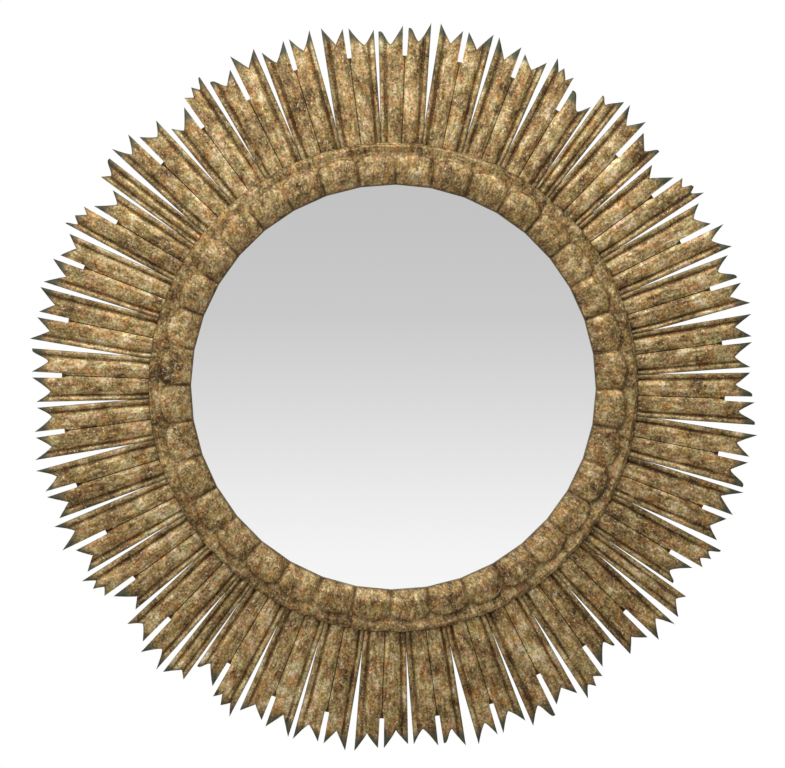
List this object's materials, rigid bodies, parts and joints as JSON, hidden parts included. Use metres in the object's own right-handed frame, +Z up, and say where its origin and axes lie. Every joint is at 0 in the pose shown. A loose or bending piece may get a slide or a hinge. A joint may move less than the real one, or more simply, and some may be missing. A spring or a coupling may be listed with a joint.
{
  "type": "sunburst wall mirror",
  "caption": "Round flat wall mirror in a gilt ring of rounded lappets, ringed by carved, swallow-tailed giltwood rays, with strap hangers on its back.",
  "frame": {"origin": "centre of the mirror on the wall plane, behind the glass", "axes": "-Y out of the glass into the room, +Y into the wall, +Z up, +X to the right seen from the front"},
  "size_m": [0.9176, 0.0427, 0.9176],
  "materials": {
    "gilt_slats": "satin",
    "gilt_ring": "satin",
    "carrier_plywood": "matte",
    "silvered_glass": "polished",
    "spacer_card": "matte",
    "backing_hardboard": "matte",
    "zinc_screws": "satin",
    "button_steel": "satin",
    "hanger_steel": "satin",
    "rubber_bumpers": "matte"
  },
  "bodies": {
    "frame": {"ray_pair_01": "gilt_slats", "ray_pair_02": "gilt_slats", "ray_pair_03": "gilt_slats", "ray_pair_04": "gilt_slats", "ray_pair_05": "gilt_slats", "ray_pair_06": "gilt_slats", "ray_pair_07": "gilt_slats", "ray_pair_08": "gilt_slats", "ray_pair_09": "gilt_slats", "ray_pair_10": "gilt_slats", "ray_pair_11": "gilt_slats", "ray_pair_12": "gilt_slats", "ray_pair_13": "gilt_slats", "ray_pair_14": "gilt_slats", "ray_pair_15": "gilt_slats", "ray_pair_16": "gilt_slats", "ray_pair_17": "gilt_slats", "ray_pair_18": "gilt_slats", "ray_pair_19": "gilt_slats", "ray_pair_20": "gilt_slats", "ray_pair_21": "gilt_slats", "ray_pair_22": "gilt_slats", "ray_pair_23": "gilt_slats", "ray_pair_24": "gilt_slats", "ray_pair_25": "gilt_slats", "ray_pair_26": "gilt_slats", "ray_pair_27": "gilt_slats", "ray_pair_28": "gilt_slats", "ray_pair_29": "gilt_slats", "ray_pair_30": "gilt_slats", "ray_pair_31": "gilt_slats", "ray_pair_32": "gilt_slats", "ray_pair_33": "gilt_slats", "ray_pair_34": "gilt_slats", "ray_pair_35": "gilt_slats", "ray_pair_36": "gilt_slats", "ray_single_1": "gilt_slats", "ray_single_2": "gilt_slats", "ray_single_3": "gilt_slats", "ray_single_4": "gilt_slats", "lappet_ring": "gilt_ring", "carrier_ring": "carrier_plywood", "mirror_glass": "silvered_glass", "spacer_board": "spacer_card", "backing_board": "backing_hardboard", "slat_screws": "zinc_screws", "ring_screws": "zinc_screws", "button_screws": "zinc_screws", "hanger_screws": "zinc_screws", "wall_bumpers": "rubber_bumpers", "hanger_strap_left": "hanger_steel", "hanger_strap_right": "hanger_steel"},
    "button_1": {"turn_button_1": "button_steel"},
    "button_2": {"turn_button_2": "button_steel"},
    "button_3": {"turn_button_3": "button_steel"},
    "button_4": {"turn_button_4": "button_steel"},
    "button_5": {"turn_button_5": "button_steel"},
    "button_6": {"turn_button_6": "button_steel"},
    "dring_right": {"hanger_dring_right": "hanger_steel"},
    "dring_left": {"hanger_dring_left": "hanger_steel"}
  },
  "joints": [
    {"name": "button_turn_1", "type": "hinge", "parent": "frame", "child": "button_1", "pos_m": [0.141, -0.0051, 0.24422], "axis": [0, 1, 0], "continuous": true},
    {"name": "button_turn_2", "type": "hinge", "parent": "frame", "child": "button_2", "pos_m": [0.282, -0.0051, 0], "axis": [0, 1, 0], "continuous": true},
    {"name": "button_turn_3", "type": "hinge", "parent": "frame", "child": "button_3", "pos_m": [0.141, -0.0051, -0.24422], "axis": [0, 1, 0], "continuous": true},
    {"name": "button_turn_4", "type": "hinge", "parent": "frame", "child": "button_4", "pos_m": [-0.141, -0.0051, -0.24422], "axis": [0, 1, 0], "continuous": true},
    {"name": "button_turn_5", "type": "hinge", "parent": "frame", "child": "button_5", "pos_m": [-0.282, -0.0051, 0], "axis": [0, 1, 0], "continuous": true},
    {"name": "button_turn_6", "type": "hinge", "parent": "frame", "child": "button_6", "pos_m": [-0.141, -0.0051, 0.24422], "axis": [0, 1, 0], "continuous": true},
    {"name": "dring_swing_right", "type": "hinge", "parent": "frame", "child": "dring_right", "pos_m": [0.268, -0.00322, 0.11], "axis": [0, 0, -1], "range_deg": [0, 170]},
    {"name": "dring_swing_left", "type": "hinge", "parent": "frame", "child": "dring_left", "pos_m": [-0.268, -0.00322, 0.11], "axis": [0, 0, 1], "range_deg": [0, 170]}
  ]
}
